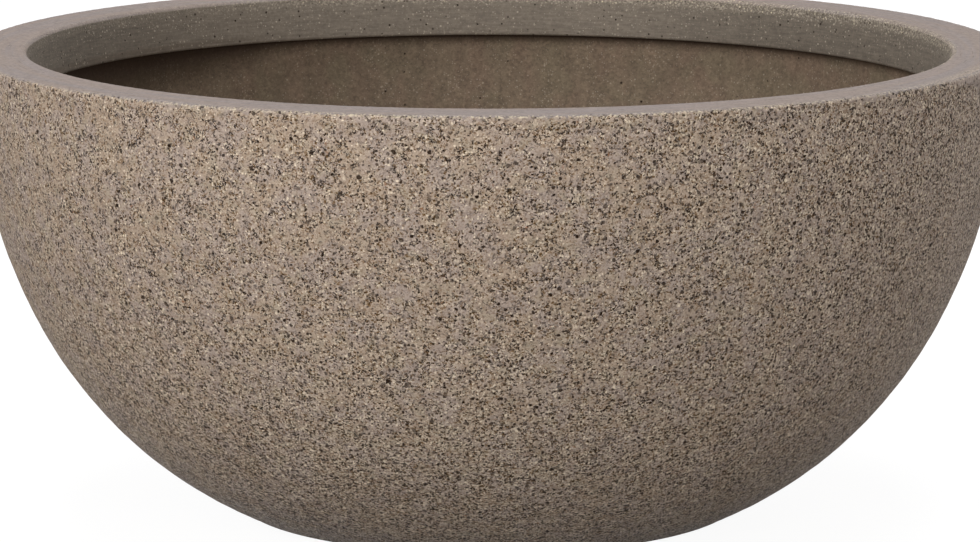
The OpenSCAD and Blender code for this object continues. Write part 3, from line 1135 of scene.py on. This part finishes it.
def pull_loop(top_z):
    """The ring that stands on the plug's head, thicker where it grows out of the head."""
    size = settings()
    deselect_all()
    bpy.ops.mesh.primitive_torus_add(
        major_radius=size.loop_r,
        minor_radius=size.loop_wire_r,
        major_segments=96,
        minor_segments=24,
        location=(0, 0, size.loop_z),
        rotation=(math.pi / 2, 0, 0),
    )
    loop = bpy.context.object
    put_place_in_mesh()
    flare_h, flare_growth = 2.4 * MM, 0.45
    for vertex in loop.data.vertices:
        out = Vector((vertex.co.x, 0, vertex.co.z - size.loop_z))
        middle = out.normalized() * size.loop_r + Vector((0, 0, size.loop_z))
        flare = smooth_step(top_z + flare_h, top_z - 1 * MM, vertex.co.z)
        vertex.co = middle + (vertex.co - middle) * (1 + flare_growth * flare)
    return loop


class PLANTER_OT_feet(bpy.types.Operator):
    """Turns one foot pad with rings under it, and copies it to each pocket"""

    bl_idname = "planter.feet"
    bl_label = "Foot pads"

    def execute(self, context):
        size = settings()
        ring_w, ring_depth, ring_count = 2.4 * MM, 0.4 * MM, 3
        land_r = size.foot_r - 3 * MM
        pad = start_outline("foot_pad_1", (0, ring_depth))
        for i in range(ring_count):
            ring_r = (2 * i + 1) * ring_w
            draw_line(ring_r, ring_depth)
            draw_line(ring_r + ring_depth, 0)
            draw_line(ring_r + ring_w, 0)
            draw_line(ring_r + ring_w + ring_depth, ring_depth)
        draw_line(land_r, ring_depth)
        draw_line(land_r + ring_depth, 0)
        draw_corner((size.foot_r, 0), (size.foot_r, size.foot_h), size.foot_edge_r, steps=4)
        draw_corner((size.foot_r, size.foot_h), (0, size.foot_h), 0.3 * MM, steps=2)
        draw_line(0, size.foot_h)
        turn_outline(segments=72, crease=35)
        rubber = rubber_material("foot_rubber")
        pads = [pad]
        for number_of_pad in range(2, size.foot_count + 1):
            copy = pad.copy()
            copy.data = pad.data.copy()
            copy.name = f"foot_pad_{number_of_pad}"
            context.collection.objects.link(copy)
            pads.append(copy)
        for piece, (x, y) in zip(pads, foot_places(), strict=True):
            pick(piece)
            bpy.ops.transform.translate(value=(x, y, 0))
            put_place_in_mesh()
            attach(piece, "bowl")
            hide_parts("foot_pads")
            dress(piece, rubber)
        return {"FINISHED"}


class PLANTER_OT_cage(bpy.types.Operator):
    """Gives the cast-in wire cage its galvanised finish"""

    bl_idname = "planter.cage"
    bl_label = "Wire cage"

    def execute(self, context):
        wire = wire_material()
        cage = ("rim_hoop", "shoulder_hoop", "belly_hoop", "base_hoop", "wall_ribs", "floor_spokes")
        for name in cage:
            dress(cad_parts[name], wire)
        return {"FINISHED"}


class PLANTER_OT_stage(bpy.types.Operator):
    """Sets the floor, the lamps and the camera"""

    bl_idname = "planter.stage"
    bl_label = "Stage"

    def execute(self, context):
        stage = context.scene.planter_stage
        deselect_all()
        bpy.ops.mesh.primitive_plane_add(size=stage.floor_size, location=(0, 0, -0.1 * MM))
        floor = context.object
        floor.name = "floor"
        dress(floor, floor_material())
        for name, place, width in (
            ("top", (0, 0, 3.6), 2.4),
            ("side", (-3.0, -2.0, 1.6), 1.6),
            ("low_left", (-1.8, -3.0, 0.6), 1.6),
            ("low_right", (1.8, -3.0, 0.6), 1.6),
            ("back", (2.2, 2.2, 2.4), 2.0),
            ("edge_left", (-2.9, 2.9, 0.7), 1.6),
            ("edge_right", (2.9, 2.9, 0.7), 1.6),
        ):
            add_lamp(name, place, width, getattr(stage, name + "_power"))
        make_world(stage.sky)
        bpy.ops.object.camera_add(
            location=(stage.camera_x, -stage.camera_distance, stage.camera_z),
            rotation=(math.pi / 2 - stage.camera_pitch, 0, 0),
        )
        camera = context.object
        camera.name = "camera"
        camera.data.sensor_width = 36
        camera.data.lens = camera.data.sensor_width * stage.focal_pixels / stage.picture_pixels
        camera.data.clip_end = 60
        context.scene.camera = camera
        context.scene.view_settings.view_transform = "Standard"
        return {"FINISHED"}


def add_lamp(name, place, width, power):
    """A square lamp that faces the middle of the bowl."""
    bpy.ops.object.light_add(type="AREA", location=place)
    lamp = bpy.context.object
    lamp.name = name
    lamp.data.energy = power
    lamp.data.size = width
    aim = Vector((0, 0, 0.15)) - Vector(place)
    lamp.rotation_euler = aim.to_track_quat("-Z", "Y").to_euler()


def seen_white(nodes):
    """1 for rays that show the background: from the camera, a reflection or a see-through part."""
    rays = nodes.add("LightPath").outputs
    total = rays["Is Camera Ray"]
    for name in ("Is Glossy Ray", "Is Transmission Ray"):
        total = nodes.add("Math", total, rays[name], operation="MAXIMUM").outputs[0]
    return total


def floor_material():
    """Pale floor: plain for the light it sends back, white with a soft shadow where seen from
    above, and clear from below, so that the underside of the bowl can be looked at."""
    material = bpy.data.materials.new("pale_floor")
    nodes = NodeTree(material)
    grey = (0.15, 0.15, 0.15, 1)
    diffuse = nodes.add("BsdfDiffuse", grey).outputs[0]
    glow = nodes.add("Emission", None, 0.93).outputs[0]
    both = nodes.add("AddShader", diffuse, glow).outputs[0]
    above = nodes.add("MixShader", seen_white(nodes), diffuse, both).outputs[0]
    below = nodes.add("BsdfTransparent").outputs[0]
    behind = nodes.add("NewGeometry").outputs["Backfacing"]
    one_sided = nodes.add("MixShader", behind, above, below).outputs[0]
    nodes.add("OutputMaterial", one_sided)
    return material


def make_world(strength):
    """A dim white room, which is plain white where it is seen."""
    world = bpy.data.worlds.new("white_room")
    bpy.context.scene.world = world
    nodes = NodeTree(world)
    room = nodes.add("Background", WHITE, strength).outputs[0]
    white = nodes.add("Background", WHITE).outputs[0]
    both = nodes.add("MixShader", seen_white(nodes), room, white).outputs[0]
    nodes.add("OutputWorld", both)


class PLANTER_PT_panel(bpy.types.Panel):
    """Lists the planter's pieces in the sidebar"""

    bl_idname = "PLANTER_PT_panel"
    bl_label = "Concrete Bowl Planter"
    bl_space_type = "VIEW_3D"
    bl_region_type = "UI"
    bl_category = "Planter"

    def draw(self, context):
        for operator in OPERATORS:
            self.layout.operator(operator.bl_idname)


OPERATORS = (
    PLANTER_OT_stage,
    PLANTER_OT_facing,
    PLANTER_OT_backing,
    PLANTER_OT_lip,
    PLANTER_OT_drain,
    PLANTER_OT_plug,
    PLANTER_OT_feet,
    PLANTER_OT_cage,
)
GROUPS = {
    "planter_sizes": BowlSizes,
    "planter_finish": FinishSettings,
    "planter_stage": StageSettings,
}
CLASSES = (*GROUPS.values(), *OPERATORS, PLANTER_PT_panel)


def register():
    for cls in CLASSES:
        bpy.utils.register_class(cls)
    for name, group in GROUPS.items():
        setattr(bpy.types.Scene, name, PointerProperty(type=group))


def unregister():
    for name in GROUPS:
        delattr(bpy.types.Scene, name)
    for cls in reversed(CLASSES):
        bpy.utils.unregister_class(cls)


def main():
    register()
    for name in ("stage", "facing", "backing", "lip", "drain", "plug", "feet", "cage"):
        getattr(bpy.ops.planter, name)()


if __name__ == "__main__":
    main()
